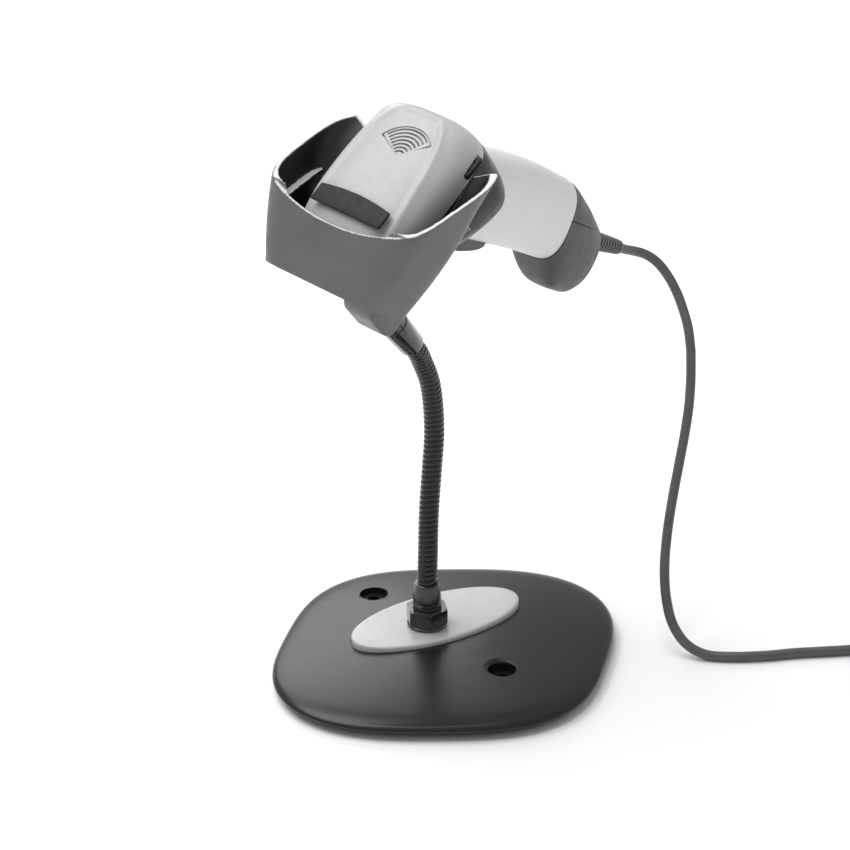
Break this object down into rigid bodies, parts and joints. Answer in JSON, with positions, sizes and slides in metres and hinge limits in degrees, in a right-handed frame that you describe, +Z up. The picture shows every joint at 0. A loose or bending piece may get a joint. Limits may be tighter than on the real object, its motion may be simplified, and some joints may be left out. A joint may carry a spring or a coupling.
{
  "type": "barcode scanner with stand",
  "caption": "Hand-held barcode scanner resting nose down in the cup of a flexible gooseneck stand with a weighted base, with its USB cable.",
  "frame": {"origin": "centre of the underside of the base's rubber mat, on the surface it stands on", "axes": "+Z up, -Y the way the scanner looks and leans, +Y towards the handle and the cable, +X to the stand's left as it faces -Y"},
  "size_m": [0.2845, 0.2985, 0.283],
  "materials": {
    "base_plastic": "satin black moulding",
    "pad_metal": "satin light grey",
    "rubber": "matt",
    "steel": "zinc plated",
    "black_steel": "gloss black",
    "hose_steel": "black wound strip",
    "cup_plastic": "fine satin texture",
    "light_plastic": "fine satin texture",
    "dark_plastic": "satin",
    "cap_plastic": "satin",
    "window": "polished red filter",
    "led_lens": "smoked",
    "brass": "turned",
    "mirror": "first-surface",
    "circuit_board": "solder resist",
    "cable_jacket": "satin vinyl"
  },
  "bodies": {
    "stand_base": {"foot_mat": "rubber", "base_shell": "base_plastic", "ballast_plate": "steel", "ballast_screw_1": "steel", "ballast_screw_2": "steel", "ballast_screw_3": "steel", "ballast_screw_4": "steel", "top_pad": "pad_metal", "foot_washer": "black_steel", "foot_nut": "black_steel", "lock_nut": "steel", "neck_stud": "steel", "lower_collar": "black_steel", "hose_lower": "hose_steel", "cable_run": "cable_jacket", "cable_coil": "cable_jacket", "coil_tie": "dark_plastic", "usb_overmould": "cable_jacket", "usb_shell": "steel", "usb_contact_block": "dark_plastic"},
    "cup": {"hose_upper": "hose_steel", "upper_collar": "black_steel", "cup_bracket": "cup_plastic", "cup_shell": "cup_plastic"},
    "scanner": {"top_shell": "light_plastic", "body_shell": "dark_plastic", "handle_shell": "light_plastic", "end_cap": "cap_plastic", "nose_bezel": "rubber", "scan_window": "window", "label_plate": "dark_plastic", "beeper_grille": "light_plastic", "led_window": "led_lens", "case_screw_1": "steel", "case_screw_2": "steel", "scan_chassis": "steel", "laser_module": "brass", "mirror_coil": "brass", "collector_mirror": "mirror", "photodiode": "dark_plastic", "main_board": "circuit_board", "processor": "dark_plastic", "beeper": "dark_plastic", "trigger_pin": "steel", "trigger_switch": "dark_plastic", "cable_connector": "dark_plastic", "strain_relief": "cable_jacket", "cable_pigtail": "cable_jacket"},
    "trigger": {"trigger": "cap_plastic"},
    "scan_mirror": {"scan_mirror": "mirror"}
  },
  "joints": [
    {"name": "neck_bend", "type": "hinge", "parent": "stand_base", "child": "cup", "pos_m": [-0.01, 0.001, 0.115], "axis": [0.9903, 0.1392, 0], "range_deg": [-20, 25], "deforming": ["cable_run", "cable_pigtail"]},
    {"name": "scanner_lift", "type": "slide", "parent": "cup", "child": "scanner", "axis": [0.0166, 0.445, 0.8954], "range_m": [0, 0.09], "deforming": ["cable_pigtail"]},
    {"name": "trigger_pull", "type": "hinge", "parent": "scanner", "child": "trigger", "pos_m": [-0.00128, -0.00209, 0.22569], "axis": [0.9865, 0.1386, -0.0872], "range_deg": [0, 6], "stiffness_Nm_per_rad": 0.3, "springref_deg": -5.73},
    {"name": "mirror_sweep", "type": "hinge", "parent": "scanner", "child": "scan_mirror", "pos_m": [0.00501, -0.03623, 0.24256], "axis": [-0.1527, 0.5863, -0.7956], "range_deg": [-10, 10], "stiffness_Nm_per_rad": 0.003}
  ]
}
